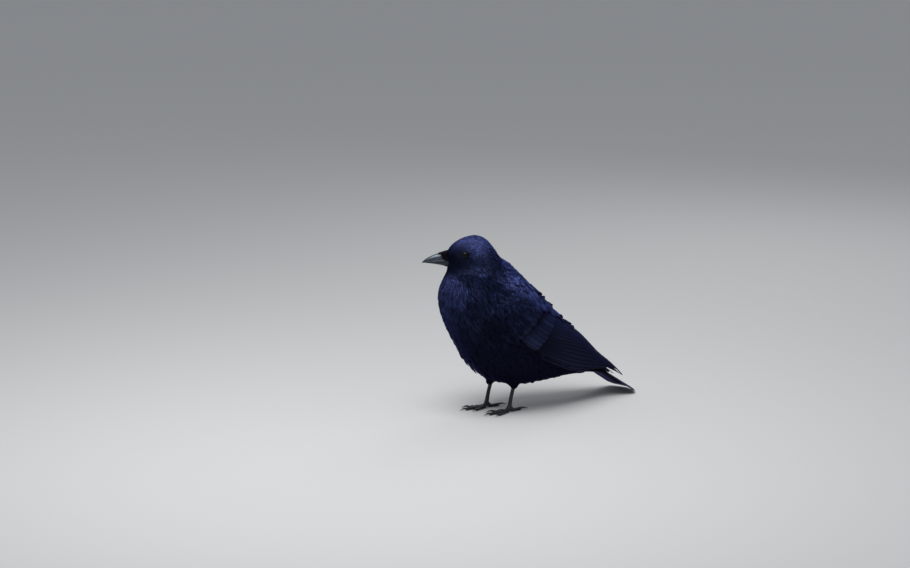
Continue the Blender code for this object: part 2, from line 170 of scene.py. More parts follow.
# Flight feathers of a folded wing: tip along, share across the wing of the lower edge at
# the wrist and at the tip, half width
PRIMARIES = (
    (-208, 0.00, 0.02, 6.5),
    (-244, 0.03, 0.08, 7.5),
    (-264, 0.06, 0.20, 8.0),
    (-271, 0.09, 0.32, 8.0),
    (-269, 0.12, 0.44, 8.0),
    (-257, 0.15, 0.54, 8.0),
    (-242, 0.18, 0.62, 8.0),
    (-229, 0.21, 0.68, 8.0),
    (-217, 0.24, 0.72, 8.0),
    (-207, 0.27, 0.75, 8.0),
)
SECONDARIES = (
    (-198, 0.30, 0.62, 9.0),
    (-194, 0.37, 0.66, 9.5),
    (-189, 0.44, 0.69, 10.0),
    (-184, 0.51, 0.71, 10.0),
    (-179, 0.58, 0.73, 10.0),
    (-175, 0.64, 0.75, 10.0),
    (-171, 0.70, 0.78, 10.5),
    (-167, 0.75, 0.82, 10.5),
    (-160, 0.80, 0.87, 10.0),
)
# Rectrices, from the outermost in: tip along, middle line's left at the root and the tip
RECTRICES = (
    (-288, 12.5, 25.5),
    (-291, 10.5, 21.0),
    (-293, 8.5, 16.5),
    (-295, 6.5, 12.0),
    (-296.5, 4.5, 8.0),
    (-297, 2.5, 4.0),
)
RECTRIX_HALF = 10.5
# Height of the coverts over and under the tail: along, rise
OVER_TAIL = ((-110, 56), (-160, 48.5), (-200, 42), (-250, 36.5))
UNDER_TAIL = ((-140, -14), (-180, 8), (-210, 22), (-270, 29))


# ---- Places -----------------------------------------------------------------------------


def walked_spine():
    """Along, forward, up and slope of the spine, a millimetre apart."""
    along = np.arange(-330.0, 171.0)
    ease = np.clip((BEND_FROM - along) / (BEND_FROM - BEND_TO), 0, 1)
    ease = ease * ease * (3 - 2 * ease)
    slope = np.radians(FRONT_INCLINE + (REAR_INCLINE - FRONT_INCLINE) * ease)
    middle = (slope[1:] + slope[:-1]) / 2
    forward = np.concatenate([[0], np.cumsum(np.cos(middle))])
    up = np.concatenate([[0], np.cumsum(np.sin(middle))])
    zero = int(np.searchsorted(along, 0))
    forward += SPINE_START[0] - forward[zero]
    up += SPINE_START[1] - up[zero]
    return along, forward, up, slope


SPINE = walked_spine()


def on_head_plain(ahead, left, rise):
    forward = HEAD_CENTRE[0] + ahead * math.cos(HEAD_TURN) + left * math.sin(HEAD_TURN)
    side = HEAD_CENTRE[1] + left * math.cos(HEAD_TURN) - ahead * math.sin(HEAD_TURN)
    return side, -forward, HEAD_CENTRE[2] + rise


def found_shift():
    """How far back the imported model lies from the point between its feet, in metres."""
    low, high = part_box("left_eye")
    return (low[1] + high[1]) / 2 - on_head_plain(EYE_AHEAD, EYE_OUT, EYE_RISE)[1] * MM


SHIFT = found_shift()


def world(forward, left, up):
    """Places in metres, from forward, left and up in millimetres."""
    forward, left, up = np.broadcast_arrays(forward, left, up)
    return np.stack([left * MM, SHIFT - forward * MM, up * MM], axis=-1)


def on_body(along, left, rise):
    places, forward, up, slope = SPINE
    tilt = np.interp(along, places, slope)
    return world(
        np.interp(along, places, forward) - rise * np.sin(tilt),
        left,
        np.interp(along, places, up) + rise * np.cos(tilt),
    )


def on_head(ahead, left, rise):
    side, back, up = on_head_plain(np.asarray(ahead, float), left, rise)
    return world(-back, side, up)


def rows_at(rows, places):
    """The rows' other columns at each place, on a smooth curve through all the rows."""
    table = np.array(sorted(rows), float)
    x, y = table[:, 0], table[:, 1:]
    slope = np.gradient(y, x, axis=0)
    places = np.asarray(places, float)
    i = np.clip(np.searchsorted(x, places) - 1, 0, len(x) - 2)
    step = (x[i + 1] - x[i])[..., None]
    t = np.clip((places - x[i])[..., None] / step, 0, 1)
    return (
        (1 + 2 * t) * (1 - t) ** 2 * y[i]
        + t * (1 - t) ** 2 * step * slope[i]
        + t * t * (3 - 2 * t) * y[i + 1]
        + t * t * (t - 1) * step * slope[i + 1]
    )


def unit(vectors):
    return vectors / np.maximum(np.linalg.norm(vectors, axis=-1, keepdims=True), 1e-12)


def roof(side, along, share):
    """Points on the outside of a folded wing: share runs from its lower edge to its upper."""
    half, crown, springing, lower, upper = np.moveaxis(rows_at(WING, along), -1, 0)
    angle = np.radians(lower + (upper - lower) * share)
    left = side * half * np.cos(angle)
    return on_body(along, left, springing + (crown - springing) * np.sin(angle))


def roof_normal(side, along, share):
    back = roof(side, along - 1, share) - roof(side, along + 1, share)
    up = roof(side, along, share + 0.01) - roof(side, along, share - 0.01)
    return unit(np.cross(back, up)) * side


def roof_width(along):
    """Millimetres across a wing's outside at places along it."""
    shares = np.linspace(0, 1, 13)
    points = roof(1, np.asarray(along, float)[..., None], shares)
    return np.linalg.norm(np.diff(points, axis=-2), axis=-1).sum(axis=-1) / MM


def body_place(points):
    """Along, left and rise of points in metres."""
    places, forward, up, slope = SPINE
    ahead = (SHIFT - points[:, 1]) / MM
    high = points[:, 2] / MM
    along = np.full(len(points), 0.0)
    for _ in range(12):
        tilt = np.interp(along, places, slope)
        short = ahead - np.interp(along, places, forward)
        tall = high - np.interp(along, places, up)
        along = np.clip(along + 0.8 * (short * np.cos(tilt) + tall * np.sin(tilt)), -320, 165)
    tilt = np.interp(along, places, slope)
    rise = -(ahead - np.interp(along, places, forward)) * np.sin(tilt)
    rise += (high - np.interp(along, places, up)) * np.cos(tilt)
    return along, points[:, 0] / MM, rise


def head_place(points):
    """Ahead, left and rise of points in metres, from between the eyes."""
    ahead = (SHIFT - points[:, 1]) / MM - HEAD_CENTRE[0]
    side = points[:, 0] / MM - HEAD_CENTRE[1]
    cos, sin = math.cos(HEAD_TURN), math.sin(HEAD_TURN)
    return (
        ahead * cos - side * sin,
        ahead * sin + side * cos,
        points[:, 2] / MM - HEAD_CENTRE[2],
    )


# ---- Lie of the coat --------------------------------------------------------------------


def lie_table():
    """Places, directions and sizes of every entry of the lie, on both sides."""
    places, ways, sizes = [], [], []
    for rows, put in ((HEAD_LIE, on_head), (BODY_LIE, on_body)):
        for (x, y, z), (a, b, c), *size in rows:
            for side in (1, -1):
                start = put(x, side * y, z)
                places.append(start)
                ways.append(put(x + a, side * (y + b), z + c) - start)
                sizes.append(size)
    for side, foot_forward in FEET.values():
        for (x, y, z), (a, b, c), *size in THIGH_LIE:
            start = world(foot_forward + x, side * HIP_SPREAD + y, z)
            places.append(start)
            ways.append(world(foot_forward + x + a, side * HIP_SPREAD + y + b, z + c) - start)
            sizes.append(size)
    return np.array(places), unit(np.array(ways)), np.array(sizes)


LIE_PLACES, LIE_WAYS, LIE_SIZES = lie_table()


def lie_at(points):
    """Direction, length, width, lift and share of blue at each point; the share of blue is the
    plumage's gloss, high on top as painted light and low underneath as painted shade.
    """
    gaps = np.linalg.norm(points[:, None] - LIE_PLACES[None], axis=-1) / MM
    weights = 1 / (gaps**2 + BLEND_DISTANCE**2) ** 2
    weights /= weights.sum(axis=1, keepdims=True)
    return (unit(weights @ LIE_WAYS), *(weights @ LIE_SIZES).T)


# The middle line that the coat is unwrapped round: along and rise on the body from the
# tail's tip, then ahead and rise on the head
AXIS_BODY = np.array([(-300, 33), (-200, 30), (-100, 10), (-40, -2), (20, -4), (70, 0), (110, 4.0)])
AXIS_HEAD = np.array([(-12, 0), (36, -6.0)])
AXIS = np.concatenate([
    on_body(AXIS_BODY[:, 0], 0, AXIS_BODY[:, 1]),
    on_head(AXIS_HEAD[:, 0], 0, AXIS_HEAD[:, 1]),
])


def unwrapped(points):
    """Each point's place round and along the bird, from tail tip to forehead, in 0 to 1."""
    starts, runs = AXIS[:-1], AXIS[1:] - AXIS[:-1]
    lengths = np.linalg.norm(runs, axis=1)
    ways = runs / lengths[:, None]
    rel = points[:, None] - starts[None]
    reach = np.einsum("nsk,sk->ns", rel, ways)
    reach = np.clip(reach, 0, lengths)
    off = rel - reach[..., None] * ways
    nearest = np.argmin(np.linalg.norm(off, axis=-1), axis=1)
    pick = np.arange(len(points))
    before = np.concatenate([[0], np.cumsum(lengths)[:-1]])
    along = (before[nearest] + reach[pick, nearest]) / lengths.sum()
    out = off[pick, nearest]
    left = np.array([1.0, 0, 0])
    back = unit(np.cross(left, ways[nearest]))
    turn = np.arctan2(out[:, 0], -np.einsum("nk,nk->n", out, back))
    return np.stack([0.5 + turn / (2 * math.pi) * 0.98, 0.01 + along * 0.98], axis=-1)


# ---- Mesh helpers -----------------------------------------------------------------------


def add_piece(name, mesh, material, replaces=(), sharp=40.0):
    """A finished piece from a bmesh, which is freed."""
    data = bpy.data.meshes.new(name)
    mesh.to_mesh(data)
    mesh.free()
    return add_mesh_piece(name, data, material, replaces, sharp)


def add_mesh_piece(name, data, material, replaces=(), sharp=40.0):
    piece = bpy.data.objects.new(name, data)
    bpy.context.scene.collection.objects.link(piece)
    data.materials.append(material)
    data.shade_smooth()
    data.set_sharp_from_angle(angle=math.radians(sharp))
    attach(piece, "root")
    for node in replaces:
        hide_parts(node)
    return piece


def lofted(rings):
    """A closed bmesh through rings of points, capped at both ends."""
    mesh = bmesh.new()
    loops = []
    for ring in rings:
        made = bmesh.ops.create_circle(mesh, segments=len(ring), radius=1)
        for vert, place in zip(made["verts"], ring):
            vert.co = place
        loops.append(list({edge for vert in made["verts"] for edge in vert.link_edges}))
    for first, second in zip(loops, loops[1:]):
        bmesh.ops.bridge_loops(mesh, edges=first + second)
    for end in (loops[0], loops[-1]):
        bmesh.ops.edgeloop_fill(mesh, edges=end)
    bmesh.ops.recalc_face_normals(mesh, faces=mesh.faces)
    return mesh


def take_in(whole, part):
    """Adds a bmesh to another, and frees it."""
    data = bpy.data.meshes.new("taken_in")
    part.to_mesh(data)
    part.free()
    whole.from_mesh(data)
    bpy.data.meshes.remove(data)


def merged_copy(names):
    """One bmesh holding merged copies of solids, each grown a little so that they join."""
    whole = bmesh.new()
    for name in names:
        part = bmesh.new()
        part.from_mesh(frame["nodes"][name].data)
        bmesh.ops.remove_doubles(part, verts=part.verts, dist=1e-6)
        part.normal_update()
        for vert, normal in [(v, v.normal.copy()) for v in part.verts]:
            vert.co += normal * 0.25 * MM
        take_in(whole, part)
    return whole


def remeshed(mesh, voxel, smoothing):
    """One closed bmesh round overlapping ones."""
    data = bpy.data.meshes.new("mould")
    mesh.to_mesh(data)
    mesh.free()
    item = bpy.data.objects.new("mould", data)
    bpy.context.scene.collection.objects.link(item)
    remesh = item.modifiers.new("remesh", "REMESH")
    remesh.mode = "VOXEL"
    remesh.voxel_size = voxel * MM
    smooth = item.modifiers.new("smooth", "SMOOTH")
    smooth.iterations = smoothing
    smooth.factor = 0.5
    graph = bpy.context.evaluated_depsgraph_get()
    made = bmesh.new()
    made.from_object(item, graph)
    bpy.data.objects.remove(item)
    bpy.data.meshes.remove(data)
    return made


# ---- Feathers ---------------------------------------------------------------------------


class Pattern:
    """One closed vane: x across from -1 to 1, y the row it is in, z the camber."""

    def __init__(self, outline, across):
        mesh = bmesh.new()
        loops = []
        for row in range(len(outline)):
            made = bmesh.ops.create_circle(mesh, segments=across, radius=1)
            for vert in made["verts"]:
                x, y, _ = vert.co
                vert.co = (x, row, y if y > -1e-6 else y * UNDERSIDE)
            loops.append(list({e for v in made["verts"] for e in v.link_edges}))
        for first, second in zip(loops, loops[1:]):
            bmesh.ops.bridge_loops(mesh, edges=first + second)
        for end in (loops[0], loops[-1]):
            bmesh.ops.edgeloop_fill(mesh, edges=end)
        bmesh.ops.recalc_face_normals(mesh, faces=mesh.faces)
        mesh.verts.index_update()
        spots = np.array([v.co[:] for v in mesh.verts])
        self.x, self.z = spots[:, 0], spots[:, 2]
        self.row = np.round(spots[:, 1]).astype(int)
        self.faces = [[v.index for v in f.verts] for f in mesh.faces]
        self.shares = np.array([place for place, _ in outline], float)
        self.widths = np.array([width for _, width in outline], float)
        self.share = self.shares[self.row]
        mesh.free()


def feathered(name, pattern, points, blue, tone, roots, material, replaces=(), sharp=50.0):
    """A piece of many feathers: points holds each one's vertices, roots its place."""
    count, size = points.shape[:2]
    flat = np.concatenate(pattern.faces)
    starts = np.concatenate([[0], np.cumsum([len(f) for f in pattern.faces])[:-1]])
    steps = np.arange(count)[:, None]
    data = bpy.data.meshes.new(name)
    data.vertices.add(count * size)
    data.vertices.foreach_set("co", points.astype(np.float32).ravel())
    data.loops.add(count * len(flat))
    data.loops.foreach_set("vertex_index", (flat + steps * size).ravel().astype(np.int32))
    data.polygons.add(count * len(starts))
    data.polygons.foreach_set("loop_start", (starts + steps * len(flat)).ravel().astype(np.int32))
    data.update(calc_edges=True)
    marks = np.stack(
        np.broadcast_arrays(blue[:, None], tone[:, None], pattern.share[None]), axis=-1
    )
    layer = data.attributes.new("marking", "FLOAT_VECTOR", "POINT")
    layer.data.foreach_set("vector", marks.astype(np.float32).ravel())
    vane = np.stack([pattern.x[flat] * 0.5 + 0.5, pattern.share[flat]], axis=-1)
    patch = unwrapped(roots)[:, None] + (vane - 0.5)[None] * BAKE_PATCH
    vanes = np.broadcast_to(vane[None], (count, *vane.shape))
    for title, spots in (("vane", vanes), ("OFBake", patch)):
        uv = data.uv_layers.new(name=title)
        uv.uv.foreach_set("vector", spots.astype(np.float32).ravel())
    return add_mesh_piece(name, data, material, replaces, sharp)


def laid_on_skin(skin, roots, normals, ways, lengths, pattern):
    """Middle lines, normals and sides of feathers that follow the skin from their roots."""
    middles, ups, ahead = [roots], [normals], ways
    point, normal = roots, normals
    for before, after in zip(pattern.shares, pattern.shares[1:]):
        step = (lengths * (after - before) * MM)[:, None]
        aim = point + ahead * step
        found = [skin.find_nearest(Vector(place)) for place in aim]
        point = np.array([f[0] for f in found])
        fresh = np.array([f[1] for f in found])
        normal = unit(normal * (1 - FOLLOWING) + fresh * FOLLOWING)
        ahead = unit(ahead - (ahead * normal).sum(axis=1, keepdims=True) * normal)
        middles.append(point)
        ups.append(normal)
    middles, ups = np.stack(middles, 1), np.stack(ups, 1)
    runs = unit(np.gradient(middles, axis=1))
    sides = unit(np.cross(runs, ups))
    return middles, ups, sides


def coat(name, skin, picked, pattern, material, camber=0.16, jitter=5.0, loose=0.0):
    """A piece of feathers laid on the skin from picked roots."""
    roots, normals = picked["root"], picked["normal"]
    # blue: the share of blue, the plumage's gloss with painted light on top and painted shade
    # underneath
    ways, length, width, lift, blue = lie_at(roots)
    count = len(roots)
    turn = np.radians(rng.normal(0, jitter, count))[:, None]
    ways = unit(ways - (ways * normals).sum(axis=1, keepdims=True) * normals)
    across = np.cross(normals, ways)
    ways = ways * np.cos(turn) + across * np.sin(turn)
    length = length * rng.uniform(0.88, 1.12, count)
    width = width * rng.uniform(0.9, 1.1, count)
    lift = lift * rng.uniform(0.75, 1.1, count) * (1 + loose * rng.uniform(0, 1, count) ** 4)
    roll = rng.normal(0, 0.03, count)
    middles, ups, sides = laid_on_skin(skin, roots, normals, ways, length, pattern)
    stand = over_wing(middles.reshape(-1, 3)).reshape(middles.shape[:2])
    row = pattern.row
    half = (width[:, None] / 2 * pattern.widths[row]) * pattern.x
    arch = pattern.z * 0.6 * pattern.widths[row] + (1 - pattern.x**2) * 0.5 * pattern.widths[row] - 0.5
    height = 0.15 + lift[:, None] * pattern.share + stand[:, row]
    height = height + camber * width[:, None] * arch + roll[:, None] * half
    points = middles[:, row] + sides[:, row] * (half * MM)[..., None]
    points = points + ups[:, row] * (height * MM)[..., None]
    tone = rng.uniform(0, 1, count)
    return feathered(name, pattern, points, blue, tone, roots, material)


def roof_feathers(side, tracks, pattern, camber, tilt=0.0):
    """Vertices of feathers on a wing's outside. Each track gives along, share, half width
    and height at the pattern's rows."""
    along, share, half, height = (np.array(column, float) for column in zip(*tracks))
    row = pattern.row
    a, h = along[:, row], height[:, row]
    t = share[:, row] - side * half[:, row] * pattern.x / roof_width(a)
    width = half[:, row]
    h = h + camber * width * (pattern.z - 0.5 * pattern.x**2) + side * tilt * pattern.x
    points = roof(side, a, t) + roof_normal(side, a, t) * (h * MM)[..., None]
    return points


def picked_roots(skin_mesh, keep):
    """Evenly scattered roots on the skin, closer where the feathers are smaller."""
    corners = np.array([[v.co[:] for v in f.verts[:3]] for f in skin_mesh.faces])
    centres = corners.mean(axis=1)
    area = np.linalg.norm(
        np.cross(corners[:, 1] - corners[:, 0], corners[:, 2] - corners[:, 0]), axis=1
    )
    pitch = lie_at(centres)[2] * PITCH_BY_WIDTH
    chance = area / (pitch * MM) ** 2
    total = int(chance.sum() * 2.6)
    face = rng.choice(len(centres), total, p=chance / chance.sum())
    a, b = rng.uniform(0, 1, (2, total, 1))
    fold = (a + b) > 1
    a, b = np.where(fold, 1 - a, a), np.where(fold, 1 - b, b)
    first, second, third = np.moveaxis(corners[face], 1, 0)
    points = first + a * (second - first) + b * (third - first)
    points = points[keep(points)]
    spacing = lie_at(points)[2] * PITCH_BY_WIDTH * MM
    tree = KDTree(len(points))
    for i, point in enumerate(points):
        tree.insert(point, i)
    tree.balance()
    gone = np.zeros(len(points), bool)
    kept = []
    for i in range(len(points)):
        if not gone[i]:
            kept.append(i)
            for _, j, _ in tree.find_range(points[i], spacing[i]):
                gone[j] = True
    return points[kept]


# ---- Materials --------------------------------------------------------------------------

SHEEN = 0.85  # how far the feathers shine in their own colour
# DEEP_BLACK is the skin's darkest colour and also the painted shade on the feathers' sides and roots
DEEP_BLACK = (0.0015, 0.0016, 0.0028, 1.0)
BODY_BLACK = (0.0034, 0.0044, 0.0115, 1.0)
BODY_BLUE = (0.098, 0.128, 0.385, 1.0)
WING_BLACK = (0.0120, 0.0135, 0.0290, 1.0)
WING_BLUE = (0.060, 0.072, 0.185, 1.0)
# Edge colours: painted highlights along the feathers' edges and tips; on the wing feathers they also
# stand for wear
WING_EDGE_WEAR_AND_SHEEN = (0.085, 0.088, 0.140, 1.0)
BODY_EDGE_SHEEN = (0.120, 0.150, 0.400, 1.0)
BRISTLE_BLACK = (0.014, 0.011, 0.017, 1.0)
BRISTLE_EDGE_SHEEN = (0.045, 0.034, 0.048, 1.0)


class Value:
    """A shader value. Sums, products and the like add Math nodes."""

    def __init__(self, finish, socket):
        self.finish, self.socket = finish, socket

    def math(self, kind, *others):
        slots = dict(enumerate((self, *others)))
        return self.finish.node("ShaderNodeMath", {"operation": kind}, slots)

    def __add__(self, other):
        return self.math("ADD", other)

    def __mul__(self, other):
        return self.math("MULTIPLY", other)

    def __sub__(self, other):
        return self.math("SUBTRACT", other)

    def __rsub__(self, other):
        return (self * -1) + other

    __radd__, __rmul__ = __add__, __mul__

    def within(self, low, high):
        """Runs smoothly from 0 at low to 1 at high."""
        settings = {"interpolation_type": "SMOOTHSTEP"}
        return self.finish.node("ShaderNodeMapRange", settings, {0: self, 1: low, 2: high})


class Finish:
    """A material being made, from its Principled shader back."""

    def __init__(self, name, **constants):
        self.material = bpy.data.materials.new(name)
        self.material.use_nodes = True
        self.tree = self.material.node_tree
        self.shader = self.tree.nodes["Principled BSDF"]
        for socket, value in constants.items():
            self.shader.inputs[socket.replace("_", " ")].default_value = value

    def node(self, kind, settings, inputs, output=0):
        made = self.tree.nodes.new(kind)
        for key, value in settings.items():
            setattr(made, key, value)
        for key, value in inputs.items():
            self.put(made.inputs[key], value)
        return Value(self, made.outputs[output])

    def put(self, socket, value):
        if isinstance(value, Value):
            self.tree.links.new(value.socket, socket)
        else:
            socket.default_value = value

    def feed(self, **inputs):
        for socket, value in inputs.items():
            self.put(self.shader.inputs[socket.replace("_", " ")], value)
        return self.material

    def place(self):
        return self.node("ShaderNodeTexCoord", {}, {}, "Object")

    def noise(self, scale, detail=3.0, roughness=0.55, place=None):
        inputs = {"Vector": place or self.place(), "Scale": scale, "Detail": detail}
        return self.node("ShaderNodeTexNoise", {}, {**inputs, "Roughness": roughness})

    def stretched(self, place, scale):
        return self.node("ShaderNodeMapping", {}, {"Vector": place, "Scale": scale})

    def mix(self, share, first, second):
        inputs = {"Factor": share, 6: first, 7: second}
        return self.node("ShaderNodeMix", {"data_type": "RGBA"}, inputs, 2)

    def marks(self):
        """The three parts of the marking that a piece's vertices carry."""
        return self.parts(
            self.node("ShaderNodeAttribute", {"attribute_name": "marking"}, {}, "Vector")
        )

    def parts(self, vector):
        made = self.node("ShaderNodeSeparateXYZ", {}, {0: vector})
        outputs = made.socket.node.outputs
        return [Value(self, outputs[i]) for i in range(3)]

    def bump(self, height, distance, strength=1.0):
        inputs = {"Height": height, "Distance": distance * MM, "Strength": strength}
        return self.node("ShaderNodeBump", {}, inputs)


def plumage(name, black, blue, edge, wear_and_sheen, barbs, roughness, relief):
    """Vaned feathers: blue by place (painted shade where there is little of it underneath), barbs
    across the vane, a shaft, painted shade on the vane's sides and root, and painted highlights on its
    edges, mixed with wear on the wing feathers.
    """
    finish = Finish(name, IOR=1.4, Metallic=SHEEN, Specular_Tint=(0.35, 0.4, 0.7, 1.0))
    blue_and_painted_shade, tone, reach = finish.marks()
    vane = finish.node("ShaderNodeUVMap", {"uv_map": "vane"}, {})
    across, along, _ = finish.parts(vane)
    off = (across - 0.5).math("ABSOLUTE")
    patchy = finish.noise(45.0, 3.0)
    # the share of blue: the plumage's gloss, with painted light on top and painted shade underneath
    share = blue_and_painted_shade * (0.38 + 0.48 * tone) + (patchy - 0.5) * 0.25
    colour = finish.mix(share.within(0.0, 1.1), black, blue)
    # painted shade: each vane darkened towards its sides and its root, where it lies under its
    # neighbours
    painted_shade = (off.within(0.12, 0.46) * 0.75).math("MAXIMUM", reach.within(0.6, 0.1))
    colour = finish.mix(painted_shade * 0.85, colour, DEEP_BLACK)
    # painted highlight: the vane's edges and tip made paler in the edge colour, partly wear on the wing
    # feathers
    rim = off.within(0.40, 0.48).math("MAXIMUM", reach.within(0.93, 1.0)) * reach.within(0.25, 0.5)
    colour = finish.mix(rim * (wear_and_sheen + 0.4 * tone) * (0.3 + blue_and_painted_shade), colour, edge)
    barb = ((along * barbs - off * barbs * 0.35) * (2 * math.pi)).math("SINE")
    split = finish.noise(9.0, 2.0, place=finish.stretched(vane, (3.0, 30.0, 1.0)))
    shaft = off.within(0.05, 0.0)
    height = barb * 0.25 + split * 0.9 + shaft * 0.7
    rough = (split - 0.5) * 0.2 + (roughness + 0.04) - shaft * 0.08 + painted_shade * 0.12
    return finish.feed(
        Base_Color=colour, Roughness=rough, Normal=finish.bump(height, relief)
    )


def bare_skin():
    finish = Finish("bird_skin", IOR=1.2, Metallic=SHEEN, Specular_Tint=(0.2, 0.22, 0.3, 1.0))
    grain = finish.noise(900.0, 2.0)
    blue_and_painted_shade, _, _ = finish.marks()
    # the skin is darker where the share of blue is low, which underneath is painted shade
    colour = finish.mix(blue_and_painted_shade * 0.5, DEEP_BLACK, BODY_BLACK)
    rough = 0.6 + (grain - 0.5) * 0.2
    return finish.feed(Base_Color=colour, Roughness=rough, Normal=finish.bump(grain, 0.15))


def bill_horn(name, shine):
    """Grey-black horn, darker to the tip, with a pale fleshy edge along the mouth line, made paler
    still as a painted highlight.
    """
    finish = Finish(name, IOR=shine, Specular_Tint=(0.70, 0.84, 1.0, 1.0))
    place = finish.place()
    _, gape_edge_and_highlight, reach = finish.marks()
    cloud = finish.noise(220.0, 4.0)
    streak = finish.noise(120.0, 3.0, place=finish.stretched(place, (2.0, 0.35, 2.0)))
    scuff = finish.noise(1800.0, 2.0)
    colour = finish.mix(
        cloud.within(0.35, 0.7), (0.008, 0.009, 0.013, 1.0), (0.024, 0.026, 0.036, 1.0)
    )
    colour = finish.mix(reach.within(0.55, 1.0) * 0.6, colour, (0.006, 0.006, 0.008, 1.0))
    # painted highlight: the fleshy edge of the mouth line made pale
    colour = finish.mix(gape_edge_and_highlight.within(0.3, 0.8) * 0.8, colour, (0.14, 0.11, 0.14, 1.0))
    height = streak * 0.6 + scuff * 0.25 + cloud * 0.4
    rough = 0.26 + (scuff - 0.5) * 0.15 + (cloud - 0.5) * 0.1
    return finish.feed(Base_Color=colour, Roughness=rough, Normal=finish.bump(height, 0.12))


def eye_gloss():
    finish = Finish("eye", IOR=1.24)
    polar, _, _ = finish.marks()
    flecks = finish.noise(1400.0, 3.0)
    iris = finish.mix(flecks, (0.0015, 0.0009, 0.0006, 1.0), (0.0045, 0.0026, 0.0016, 1.0))
    ringed = finish.mix(polar.within(0.60, 0.72), iris, (0.002, 0.002, 0.002, 1.0))
    colour = finish.mix(polar.within(0.34, 0.30), ringed, (0.0005, 0.0005, 0.0005, 1.0))
    return finish.feed(Base_Color=colour, Roughness=0.05 + polar.within(0.8, 1.0) * 0.1)


def leg_scales():
    finish = Finish("leg_scale", IOR=1.42)
    place = finish.place()
    groove, _, _ = finish.marks()
    cells = finish.node(
        "ShaderNodeTexVoronoi", {"feature": "DISTANCE_TO_EDGE"}, {"Vector": place, "Scale": 950.0}
    )
    cloud = finish.noise(300.0, 4.0)
    colour = finish.mix(cloud, (0.006, 0.006, 0.010, 1.0), (0.022, 0.020, 0.030, 1.0))
    colour = finish.mix(groove * 0.7, colour, (0.004, 0.004, 0.005, 1.0))
    height = cells.within(0.0, 0.12) * 0.6 + cloud * 0.4
    rough = 0.36 + (cloud - 0.5) * 0.3 + groove * 0.2
    return finish.feed(Base_Color=colour, Roughness=rough, Normal=finish.bump(height, 0.12))


def claw_horn():
    finish = Finish("claw_horn", IOR=1.55)
    cloud = finish.noise(700.0, 3.0)
    colour = finish.mix(cloud, (0.008, 0.008, 0.010, 1.0), (0.028, 0.027, 0.030, 1.0))
    rough = 0.24 + (cloud - 0.5) * 0.2
    return finish.feed(Base_Color=colour, Roughness=rough, Normal=finish.bump(cloud, 0.06))


def lid_skin():
    finish = Finish("eye_lid", IOR=1.25)
    fold = finish.noise(2200.0, 3.0)
    colour = finish.mix(fold, (0.002, 0.002, 0.003, 1.0), (0.009, 0.009, 0.011, 1.0))
    return finish.feed(Base_Color=colour, Roughness=0.5, Normal=finish.bump(fold, 0.2))


def studio_floor():
    finish = Finish("studio_floor")
    return finish.feed(Base_Color=(0.62, 0.62, 0.61, 1.0), Roughness=0.85)


# ---- Skin -------------------------------------------------------------------------------


WING_FLESH_END = -135.0  # along; behind it a folded wing is feathers only
CREVICE_FILL = 5.0  # folds narrower than twice this are bridged by the skin
WING_STAND = 3.3  # thickness of a wing's own feathers over the skin
COVERT_END = 2.0  # along; the small coverts' roots are ahead of it
EYE_CLEARING = 5.5  # no feather's root is nearer to the middle of an eye's front


def swell(mesh, amounts):
    """Moves each vertex of a bmesh out along its normal, by millimetres."""
    mesh.normal_update()
    moves = [vert.normal * float(amount) * MM for vert, amount in zip(mesh.verts, amounts)]
    for vert, move in zip(mesh.verts, moves):
        vert.co += move


def build_skin():
    """One closed skin inside the solids, by the depth of the coat."""
    whole = merged_copy(["head", "neck", "trunk", "left_thigh", "right_thigh"])
    wings = merged_copy(["left_wing", "right_wing"])
    behind = Vector(on_body(WING_FLESH_END, 0, 0))
    ahead = Vector(on_body(WING_FLESH_END + 1, 0, 0)) - behind
    cut = bmesh.ops.bisect_plane(
        wings,
        geom=wings.verts[:] + wings.edges[:] + wings.faces[:],
        plane_co=behind,
        plane_no=ahead,
        clear_inner=True,
    )
    rim = [e for e in cut["geom_cut"] if isinstance(e, bmesh.types.BMEdge)]
    bmesh.ops.edgeloop_fill(wings, edges=rim)
    for side in (1, -1):
        bmesh.ops.create_uvsphere(
            whole,
            u_segments=24,
            v_segments=16,
            radius=(EYE_RADIUS + 0.6) * MM,
            matrix=Matrix.Translation(on_head(EYE_AHEAD, side * (EYE_OUT - 1.5), EYE_RISE)),
        )
    take_in(whole, wings)
    skin = remeshed(whole, 2.5, 2)
    swell(skin, np.full(len(skin.verts), CREVICE_FILL))
    skin = remeshed(skin, 2.0, 8)
    places = np.array([v.co[:] for v in skin.verts])
    covered = wing_cover(places)
    depths = (lie_at(places)[3] + 0.35) * (1 - covered) + (WING_STAND + 0.4) * covered
    swell(skin, -(depths + CREVICE_FILL))
    bmesh.ops.smooth_vert(
        skin, verts=skin.verts, factor=0.5, use_axis_x=True, use_axis_y=True, use_axis_z=True
    )
    skin.normal_update()
    return skin


def on_wing(points):
    """Along and share across the nearer wing, and how far out of the body a point is."""
    along, left, rise = body_place(points)
    half, crown, springing, lower, upper = rows_at(WING, along).T
    up, out = (rise - springing) / (crown - springing), abs(left) / half
    share = (np.degrees(np.arctan2(up, out)) - lower) / (upper - lower)
    return along, share, np.hypot(up, out)


def ramp(values, low, high):
    return np.clip((values - low) / (high - low), 0, 1)


def wing_cover(points):
    """How far a point lies within a folded wing, from 0 outside it to 1."""
    along, share, out = on_wing(points)
    across = ramp(share, -0.06, 0.08) * ramp(share, 1.4, 1.15)
    return across * ramp(along, 58, 48) * ramp(out, 0.6, 0.75)


def over_wing(points):
    """Millimetres that the coat stands up by, where it lies over a wing's own feathers."""
    along, share, _ = on_wing(points)
    above = np.maximum(ramp(along, -60, -20), ramp(share, 0.3, 0.5)) * ramp(along, -110, -80)
    above = np.maximum(above, ramp(share, 0.75, 0.95) * ramp(along, -150, -125))
    return WING_STAND * wing_cover(points) * above


